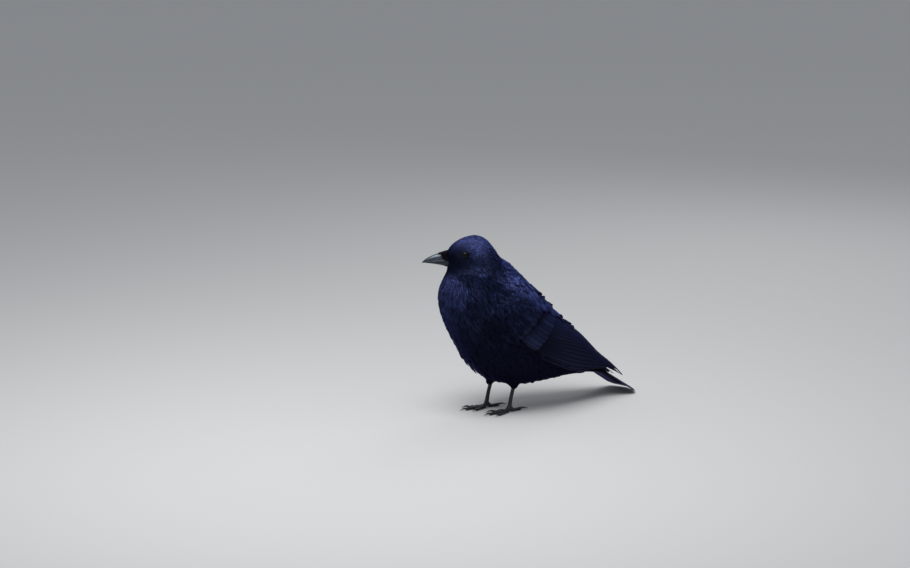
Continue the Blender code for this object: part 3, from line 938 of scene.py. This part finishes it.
def scapular_edge(along):
    """The share across a wing above which the scapulars' roots lie."""
    return 0.58 + 0.30 * ramp(along, 42, -60)


def wing_bare(points):
    """Which points lie under a folded wing's flight feathers and rows of coverts."""
    along, share, out = on_wing(points)
    scapulars = share > scapular_edge(along)
    lesser = along > COVERT_END
    covered = (along < 56) & (along > -205) & (share > 0.02) & (share < 0.97) & (out > 0.7)
    return covered & ~scapulars & ~lesser


def bare_places(points):
    """Which points carry no feathers: under a wing, round an eye, or on the bill's base."""
    bare = wing_bare(points)
    for side in (1, -1):
        eye = on_head(EYE_AHEAD, side * EYE_OUT, EYE_RISE)
        bare |= np.linalg.norm(points - eye, axis=1) < EYE_CLEARING * MM
    ahead, left, rise = head_place(points)
    bill = (ahead > 31) & (abs(left) < 7.5) & (rise < 3.5) & (rise > -19)
    return bare | bill


def split_roots(points, normals):
    """The roots sorted into the bird's feather tracts."""
    ahead, side, rise = head_place(points)
    along, _, height = body_place(points)
    _, share, out = on_wing(points)
    distance = np.hypot(np.hypot(ahead + 6, side), rise * 0.9)
    on_top = rise > -24 - 0.35 * np.clip(-ahead - 30, 0, 40)
    head = (distance < 50) & on_top & (points[:, 2] > 218 * MM)
    winged = ~head & (along < 56) & (share > 0.02) & (out > 0.85)
    coverts = winged & (share < scapular_edge(along))
    scapulars = winged & ~coverts & (share < 1.3)
    rest = ~(head | coverts | scapulars)
    throat = rest & (along + 0.25 * height > 62) & (height < 22)
    nape = rest & (along > 84) & ~throat
    back = rest & ~throat & ~nape & (height > 34)
    breast = rest & ~(throat | nape | back) & (along > 20)
    belly = rest & ~(throat | nape | back | breast)
    tracts = {
        "face_and_crown": head,
        "throat_hackles": throat,
        "nape_feathers": nape,
        "scapulars": scapulars,
        "lesser_coverts": coverts,
        "mantle_and_rump": back,
        "breast_feathers": breast,
        "belly_feathers": belly,
    }
    return {
        name: {"root": points[mask], "normal": normals[mask]} for name, mask in tracts.items()
    }


# ---- Wings and tail ---------------------------------------------------------------------


def flight_outline(count, tip):
    """Rows along a long feather: parallel sides, then a rounded or pointed end."""
    shares = 1 - (1 - np.linspace(0, 1, count)) ** 1.5
    widths = np.clip((1 - shares) / tip, 0, 1) ** 0.55
    widths = np.maximum(widths, 0.03)
    widths[0] = 0.5
    return tuple(zip(shares, widths))


PRIMARY_ROWS = flight_outline(22, 0.22)
SECONDARY_ROWS = flight_outline(20, 0.10)
RECTRIX_ROWS = flight_outline(20, 0.07)


def flight_tracks(table, rows, root_along, base, step):
    """Tracks on the wing's outside for feathers that run back from the wrist."""
    shares = np.array([r[0] for r in rows])
    widths = np.array([r[1] for r in rows])
    tracks = []
    for number, (tip, wrist, end, half) in enumerate(table):
        along = root_along + (tip - root_along) * shares
        edge = wrist + (end - wrist) * shares**1.3
        middle = edge + half / roof_width(along)
        height = base + step * number + 0.5 * shares
        tracks.append((along, middle, half * widths, height))
    return tracks


def covert_row(along, lean, spacing, length, half, low, high, pattern, height):
    """One row of coverts across the wing, each feather running back over the next row."""
    width = float(roof_width(np.array([along]))[0])
    count = int(width * (high - low) / spacing)
    tracks = []
    for i in range(count):
        share = low + (high - low) * (i + 0.5 + rng.uniform(-0.12, 0.12)) / count
        start = along - lean * (share - 0.5) + rng.normal(0, 0.8)
        reach = length * rng.uniform(0.95, 1.05)
        drift = rng.normal(0.01, 0.008)
        size = half * rng.uniform(0.95, 1.05)
        tracks.append((
            start - reach * pattern.shares,
            share + drift * pattern.shares,
            size * pattern.widths,
            height + 0.7 * pattern.shares + 0.02 * i,
        ))
    return tracks


def track_roots(side, tracks):
    along = np.array([t[0].mean() for t in tracks])
    share = np.array([t[1].mean() for t in tracks])
    return roof(side, along, share)


def build_wing(prefix, side, flight, covert):
    """The long feathers of a folded wing and the rows of coverts over their roots."""
    long_vanes = (
        ("primaries", PRIMARIES, PRIMARY_ROWS, 10.0, -2.9, 0.05, 0.10),
        ("secondaries", SECONDARIES, SECONDARY_ROWS, 0.0, -2.3, 0.04, 0.35),
    )
    for title, table, rows, root, base, step, blue in long_vanes:
        pattern = Pattern(rows, 12)
        tracks = flight_tracks(table, rows, root, base, step)
        points = roof_feathers(side, tracks, pattern, 0.03, tilt=0.35)
        count = len(tracks)
        middle = len(rows) // 3
        where = roof(
            side, np.array([t[0][middle] for t in tracks]), np.array([t[1][middle] for t in tracks])
        )
        feathered(
            f"{prefix}_{title}", pattern, points, np.full(count, blue),
            rng.uniform(*WING_TONES, count), where, flight,
            [f"{prefix}_wing"] if title == "secondaries" else (),
        )
    short = Pattern(COVERT, 8)
    rows = {
        "greater_coverts": (covert_row(-14, 26, 7.0, 46, 7.4, 0.06, 0.9, short, -1.4), 0.42),
        "median_coverts": (
            covert_row(4, 16, 7.5, 26, 6.6, 0.05, 0.86, short, -0.8)
            + covert_row(14, 12, 7.0, 20, 6.0, 0.04, 0.84, short, -0.4),
            0.35,
        ),
    }
    for title, (tracks, blue) in rows.items():
        points = roof_feathers(side, tracks, short, 0.08, tilt=0.3)
        count = len(tracks)
        feathered(
            f"{prefix}_{title}", short, points, blue * rng.uniform(0.6, 1.2, count),
            rng.uniform(0, 1, count), track_roots(side, tracks), covert,
        )


def build_tail(material):
    """Twelve tail feathers, closed over each other, the middle pair on top."""
    pattern = Pattern(RECTRIX_ROWS, 12)
    vertices, roots = [], []
    for number, (tip, root_left, tip_left) in enumerate(RECTRICES):
        for side in (1, -1):
            row = pattern.row
            along = -120 + (tip + 120) * pattern.share
            middle = side * (root_left + (tip_left - root_left) * pattern.share)
            half = RECTRIX_HALF * pattern.widths[row] * (0.6 + 0.4 * pattern.share)
            left = middle + half * pattern.x
            half_tail = rows_at(((-100, 20), (-200, 27.5), (-284, 36), (-297, 36)), along)[..., 0]
            droop = 5.0 * np.clip(abs(left) / half_tail, 0, 1.2) ** 2
            spine = rows_at(((-100, 36), (-155, 34), (-225, 32.5), (-297, 32)), along)[..., 0]
            height = spine - 1.2 + 0.32 * number - droop
            height = height + 0.4 * (pattern.z - 0.5 * pattern.x**2) + 0.16 * side * pattern.x
            vertices.append(on_body(along, left, height + (0.05 if side > 0 else 0)))
            roots.append(on_body(-200.0 - 12 * number, side * (4 + 4.0 * number), 33.0))
    vertices, roots = np.array(vertices), np.array(roots)
    count = len(vertices)
    vertices[..., 2] = np.maximum(vertices[..., 2], 0.0002)
    feathered(
        "tail_feathers", pattern, vertices, np.full(count, 0.15),
        rng.uniform(0.2, 0.8, count), roots, material, ["tail"],
    )


def build_tail_coverts(finish):
    """Rows of long soft feathers over the root of the tail, above and below it."""
    pattern = Pattern(COVERT, 6)
    vertices, roots, blues = [], [], []
    for over, rise, first, gap, reach in ((1, OVER_TAIL, -122, 15, 46), (-1, UNDER_TAIL, -150, 14, 50)):
        for number in range(6):
            for place in np.linspace(-1, 1, 7 - number % 2):
                row = pattern.row
                start = first - gap * number + rng.normal(0, 2)
                along = start - reach * rng.uniform(0.9, 1.1) * pattern.share
                half_row = 19 - 1.3 * number
                left = over * 7.5 * pattern.x * pattern.widths[row]
                left = left + half_row * place * (1 - 0.15 * pattern.share)
                height = rows_at(rise, along)[..., 0] + over * 0.25 * (5 - number)
                height = height - over * 4.0 * (left / 20) ** 2 + over * 0.8 * (pattern.z - 0.5)
                vertices.append(on_body(along, left, height))
                roots.append(on_body(start, half_row * place, rise[0][1]))
                blues.append(0.45 if over > 0 else 0.0)
    count = len(vertices)
    feathered(
        "tail_coverts", pattern, np.array(vertices), np.array(blues),
        rng.uniform(0, 1, count), np.array(roots), finish,
    )


# ---- Bill, eyes, legs -------------------------------------------------------------------


UPPER_BILL = (
    (18, 8.2, 5.2, -8.4),
    (32, 8.4, 5.8, -8.5),
    (42, 7.5, 3.4, -8.9),
    (51, 6.0, 0.4, -9.8),
    (60, 4.4, -3.4, -10.9),
    (67, 2.7, -7.6, -11.9),
    (70.5, 1.4, -10.6, -13.0),
    (72, 0.5, -12.6, -13.7),
)
LOWER_BILL = (
    (18, 7.9, -19.6, -8.3),
    (32, 8.0, -19.8, -8.4),
    (42, 6.4, -17.0, -8.8),
    (51, 5.0, -15.4, -9.7),
    (60, 3.5, -14.2, -10.8),
    (67, 1.9, -13.4, -11.7),
    (69.2, 0.6, -13.1, -12.5),
)


def marked(mesh, values):
    """Gives each vertex of a bmesh its marking."""
    layer = mesh.verts.layers.float_vector.new("marking")
    for vert, value in zip(mesh.verts, values):
        vert[layer] = value


def bill_round(half, ridge, edge, angles):
    """Left and height round one half of the bill, from its edge over its ridge."""
    s, c = np.sin(angles), np.cos(angles)
    left = half * np.sign(c) * abs(c) ** 0.87 * (1 - 0.27 * np.clip(s, 0, 1) ** 2)
    return left, edge + (ridge - edge) * np.where(s > 0, s, 0.06 * s)


def build_bill(finishes):
    for name, rows in (("upper_bill", UPPER_BILL), ("lower_bill", LOWER_BILL)):
        upper = name == "upper_bill"
        places = rows[0][0] + (rows[-1][0] - rows[0][0]) * np.linspace(0, 1, 34) ** 0.85
        rings, marks = [], []
        angles = np.linspace(0, 2 * math.pi, 36, endpoint=False)
        for ahead in places:
            half, ridge, edge = rows_at(rows, ahead)
            left, height = bill_round(half, ridge, edge, angles)
            s = np.sin(angles)
            rings.append(on_head(ahead, left, height))
            reach = (ahead - rows[0][0]) / (rows[-1][0] - rows[0][0])
            # a pale band along the upper bill's cutting edge: its fleshy edge, paler as a painted
            # highlight
            lip_edge_and_highlight = (1 - np.clip(abs(height - edge) / 1.3, 0, 1)) * (upper and ahead < 56)
            marks.append(np.stack(np.broadcast_arrays(np.clip(s, 0, 1), lip_edge_and_highlight, reach), axis=-1))
        mesh = lofted(rings)
        marked(mesh, np.concatenate(marks))
        add_piece(name + "_horn", mesh, finishes[name], [name], 45.0)


EYE_FRONT = 0.6  # share of the eye's radius that the clear front bulges over
EYE_BULGE = 0.35
LID_RING, LID_RISE, LID_HALF = 4.3, 4.5, 0.5  # the lid's ring: radius, place and half thickness


def build_eyes(gloss, lid):
    for prefix, side in (("left", 1), ("right", -1)):
        centre = Vector(on_head(EYE_AHEAD, side * EYE_OUT, EYE_RISE))
        aim = Vector(on_head(EYE_AHEAD + 1.2, side * (EYE_OUT + 9), EYE_RISE + 0.4))
        out = (aim - centre).normalized()
        face = out.to_track_quat("Z", "Y").to_matrix().to_4x4()
        ball = bmesh.new()
        bmesh.ops.create_uvsphere(ball, u_segments=48, v_segments=32, radius=EYE_RADIUS * MM)
        marks = []
        for vert in ball.verts:
            polar = math.hypot(vert.co.x, vert.co.y) / (EYE_RADIUS * MM)
            front = vert.co.z > 0
            marks.append((polar if front else 1.0, 0, 0))
            if front and polar < EYE_FRONT:
                vert.co.z += EYE_BULGE * MM * (1 - (polar / EYE_FRONT) ** 2)
        marked(ball, marks)
        bmesh.ops.transform(ball, matrix=Matrix.Translation(centre) @ face, verts=ball.verts)
        add_piece(f"{prefix}_eyeball", ball, gloss, [f"{prefix}_eye"], 60.0)
        rim = bmesh.new()
        made = bmesh.ops.create_circle(rim, segments=12, radius=LID_HALF * MM)
        upright = Matrix.Rotation(math.pi / 2, 4, "X")
        put = Matrix.Translation((LID_RING * MM, 0, LID_RISE * MM)) @ upright
        bmesh.ops.transform(rim, matrix=put, verts=made["verts"])
        bmesh.ops.spin(
            rim, geom=rim.verts[:] + rim.edges[:], axis=(0, 0, 1), cent=(0, 0, 0),
            angle=2 * math.pi, steps=48, use_merge=True,
        )
        bmesh.ops.remove_doubles(rim, verts=rim.verts, dist=1e-6)
        bmesh.ops.recalc_face_normals(rim, faces=rim.faces)
        bmesh.ops.transform(rim, matrix=Matrix.Translation(centre) @ face, verts=rim.verts)
        add_piece(f"{prefix}_eyelids", rim, lid, (), 60.0)


# Number, heading in degrees out from straight ahead, length
TOES = ((1, 176.0, 22.0), (2, 22.0, 28.0), (3, -2.0, 38.0), (4, -24.0, 31.0))
# Stations of a shank: up, forward of the foot, half width, half depth
SHANK = (
    (5.5, 0, 3.0, 3.4),
    (13, -1, 2.5, 3.2),
    (25, -3.5, 2.1, 2.9),
    (40, -8, 2.4, 3.2),
    (56, -12, 3.6, 4.4),
)
FOOT_TOP = 9.5  # the scutes run up the shank above it and along the toes below it
SHANK_SCUTE, TOE_SCUTE = 4.2, 3.1  # length of one scute
SCUTE_RISE, SCUTE_GROOVE = 0.22, 0.28
CLAW_LENGTH = {1: 17.0, 2: 12.0, 3: 13.0, 4: 11.0}


def shank(side, foot_forward):
    turn = np.linspace(0, 2 * math.pi, 16, endpoint=False)
    return lofted([
        world(
            foot_forward + forward + depth * np.cos(turn),
            side * (HIP_SPREAD + half * np.sin(turn)),
            up,
        )
        for up, forward, half, depth in SHANK
    ])


def scuted(leg, ankle):
    """Raises the scutes of a leg's bmesh, cuts grooves between them and marks the grooves."""
    leg.normal_update()
    marks = []
    for vert in leg.verts:
        x, y, z = (np.array(vert.co) - ankle) / MM
        if z > FOOT_TOP:
            front = max(-vert.normal.y, 0.0)
            phase = (z - 0.25 * y) / SHANK_SCUTE
        else:
            front = max(vert.normal.z, 0.0)
            phase = math.hypot(x, y) / TOE_SCUTE
        saw = phase % 1.0
        groove = max(0.0, 1 - min(saw, 1 - saw) / 0.14) * min(1.0, front * 1.6)
        vert.co += vert.normal * (SCUTE_RISE * front * (1 - saw) - SCUTE_GROOVE * groove) * MM
        vert.co.z = max(vert.co.z, 0.0)
        marks.append((groove, 0, 0))
    marked(leg, marks)


def build_legs(scales, horn):
    for prefix, (side, foot_forward) in FEET.items():
        solids = [f"{prefix}_tarsus", f"{prefix}_foot"]
        shape = merged_copy(solids)
        take_in(shape, shank(side, foot_forward))
        leg = remeshed(shape, 0.55, 3)
        scuted(leg, np.array(world(foot_forward, side * HIP_SPREAD, 0)))
        add_piece(f"{prefix}_leg", leg, scales, solids, 60.0)
        claws = bmesh.new()
        for number, heading, length in TOES:
            claws_from(claws, side, foot_forward, number, heading, length)
        nodes = [f"{prefix}_claw_{n}" for n in CLAW_LENGTH]
        add_piece(f"{prefix}_claws", claws, horn, nodes, 60.0)


def claws_from(claws, side, foot_forward, number, heading, length):
    """Adds one claw that arches from the end of its toe down to the floor."""
    turn = math.radians(heading)
    along = np.array([-side * math.sin(turn), -math.cos(turn), 0])
    across = np.cross(along, [0, 0, 1])
    reach = CLAW_LENGTH[number]
    root = world(foot_forward, side * HIP_SPREAD, 0) + along * (length - 2.5) * MM
    angles = np.linspace(0, 2 * math.pi, 14, endpoint=False)
    rings = []
    for t in np.linspace(0, 1, 14):
        height = 2.4 * (1 - t * t) + 2.6 * 2 * t * (1 - t) + 0.45 * t
        radius = max(1.95 * (1 - t) ** 0.65, 0.18)
        middle = root + along * (reach + 1) * t * MM + np.array([0, 0, height * MM])
        ring = middle + np.outer(np.cos(angles) * 0.8, across) * radius * MM
        rings.append(ring + np.outer(np.sin(angles), [0, 0, 1]) * radius * MM)
    take_in(claws, lofted(rings))


def build_bristles(material):
    """Bristles that lie forward over the base of the bill and its nostrils."""
    pattern = Pattern(BRISTLE, 4)
    vertices, roots = [], []
    for _ in range(BRISTLES):
        turn = rng.uniform(0.12, math.pi - 0.12)
        top = math.sin(turn)
        start = 29.5 + rng.uniform(-2.0, 3.0)
        reach = (6.0 + 9.0 * top) * rng.uniform(0.6, 1.1)
        drift = rng.normal(-0.12, 0.12) * (1 if turn < math.pi / 2 else -1)
        lift = rng.uniform(0.2, 1.1)
        ahead = start + reach * pattern.share
        angle = turn + drift * pattern.share
        half, ridge, edge = np.moveaxis(rows_at(UPPER_BILL, ahead), -1, 0)
        off = lift * (1 - 0.55 * pattern.share) + 0.22 * pattern.z
        left, height = bill_round(half + off, ridge + off, edge, angle)
        thick = 0.34 * pattern.x * pattern.widths[pattern.row]
        left = left - thick * np.sin(angle)
        height = height + thick * np.cos(angle)
        vertices.append(on_head(ahead, left, height))
        roots.append(on_head(start, 8 * math.cos(turn), 5 * top))
    count = len(vertices)
    feathered(
        "nasal_bristles", pattern, np.array(vertices), np.full(count, 0.1),
        rng.uniform(0, 1, count), np.array(roots), material,
    )


# ---- Studio -----------------------------------------------------------------------------


SKY_COLOUR, SKY_STRENGTH = (0.84, 0.88, 0.95, 1), 0.42
# Soft lamps: name, place in metres, watts, side
LAMPS = (
    ("overhead", (0.25, -0.6, 1.5), 20, 1.0),
    ("back_rim", (-0.9, 1.3, 1.2), 4, 0.8),
)
LAMPS_AIM = (0, -0.02, 0.15)
CAMERA_TURN, CAMERA_TILT = 57.0, 12.0
CAMERA_DISTANCE = 5.0
CAMERA_LENS, CAMERA_SENSOR = 125.2, 36.0
FRAME_LEFT, FRAME_UP = 0.0711, 0.1912  # metres from the feet to the middle of the frame


def build_studio():
    floor = bmesh.new()
    bmesh.ops.create_grid(floor, x_segments=2, y_segments=2, size=25)
    data = bpy.data.meshes.new("floor")
    floor.to_mesh(data)
    floor.free()
    item = bpy.data.objects.new("floor", data)
    bpy.context.scene.collection.objects.link(item)
    data.materials.append(studio_floor())
    sky = bpy.data.worlds.new("studio")
    bpy.context.scene.world = sky
    sky.use_nodes = True
    background = sky.node_tree.nodes["Background"].inputs
    background["Color"].default_value = SKY_COLOUR
    background["Strength"].default_value = SKY_STRENGTH
    for name, place, power, size in LAMPS:
        light = bpy.data.lights.new(name, "AREA")
        light.energy = power
        light.size = size
        lamp = bpy.data.objects.new(name, light)
        bpy.context.scene.collection.objects.link(lamp)
        lamp.location = place
        aim = Vector(LAMPS_AIM) - Vector(place)
        lamp.rotation_euler = aim.to_track_quat("-Z", "Y").to_euler()


def build_camera():
    turn, tilt = math.radians(CAMERA_TURN), math.radians(CAMERA_TILT)
    towards = Vector((
        math.sin(turn) * math.cos(tilt), -math.cos(turn) * math.cos(tilt), math.sin(tilt)
    ))
    right = Vector((math.cos(turn), math.sin(turn), 0))
    up = towards.cross(right)
    aim = Vector((0, SHIFT, 0.007)) - right * FRAME_LEFT + up * FRAME_UP
    lens = bpy.data.cameras.new("camera")
    lens.lens = CAMERA_LENS
    lens.sensor_width = CAMERA_SENSOR
    camera = bpy.data.objects.new("camera", lens)
    bpy.context.scene.collection.objects.link(camera)
    camera.location = aim + towards * CAMERA_DISTANCE
    camera.rotation_euler = (-towards).to_track_quat("-Z", "Y").to_euler()
    bpy.context.scene.camera = camera


# ---- The bird ---------------------------------------------------------------------------


def build_bird():
    body = plumage("black_feather", BODY_BLACK, BODY_BLUE, BODY_EDGE_SHEEN, 0.0, 48, 0.38, 0.2)
    silky = plumage("head_feather", BODY_BLACK, BODY_BLUE, BODY_EDGE_SHEEN, 0.0, 16, 0.40, 0.12)
    covert = plumage("covert_feather", WING_BLACK, BODY_BLUE, WING_EDGE_WEAR_AND_SHEEN, 0.2, 60, 0.37, 0.2)
    flight = plumage("flight_feather", WING_BLACK, WING_BLUE, WING_EDGE_WEAR_AND_SHEEN, 0.45, 190, 0.35, 0.16)
    bristle = plumage("bristle_feather", BRISTLE_BLACK, BODY_BLACK, BRISTLE_EDGE_SHEEN, 0.5, 2, 0.5, 0.05)
    skin_mesh = build_skin()
    bmesh.ops.triangulate(skin_mesh, faces=skin_mesh.faces)
    tree = BVHTree.FromBMesh(skin_mesh)
    points = picked_roots(skin_mesh, lambda spots: ~bare_places(spots))
    normals = np.array([tree.find_nearest(Vector(p))[1] for p in points])
    tracts = split_roots(points, normals)
    # the skin carries the coat's share of blue, painted shade where it is low underneath
    blue = lie_at(np.array([v.co[:] for v in skin_mesh.verts]))[4]
    marked(skin_mesh, [(share, 0.5, 0.5) for share in blue])
    add_piece(
        "skin", skin_mesh, bare_skin(),
        ["head", "neck", "trunk", "left_thigh", "right_thigh"], 180.0,
    )
    contour = Pattern(CONTOUR, 6)
    small = Pattern(SILKY, 4)
    hackle = Pattern(HACKLE, 4)
    for name, picked in tracts.items():
        pattern = {"face_and_crown": small, "throat_hackles": hackle}.get(name, contour)
        finish = silky if name == "face_and_crown" else body
        camber = {"face_and_crown": 0.12, "throat_hackles": 0.3}.get(name, 0.16)
        coat(name, tree, picked, pattern, finish, camber, loose=1.2 if "belly" in name else 0.3)
    build_bristles(bristle)
    for prefix, side in (("left", 1), ("right", -1)):
        build_wing(prefix, side, flight, covert)
    build_tail(flight)
    build_tail_coverts(body)
    upper, lower = bill_horn("upper_horn", 1.85), bill_horn("lower_horn", 1.4)
    build_bill({"upper_bill": upper, "lower_bill": lower})
    build_eyes(eye_gloss(), lid_skin())
    build_legs(leg_scales(), claw_horn())


bpy.context.scene.view_settings.view_transform = "Standard"
build_bird()
build_studio()
build_camera()
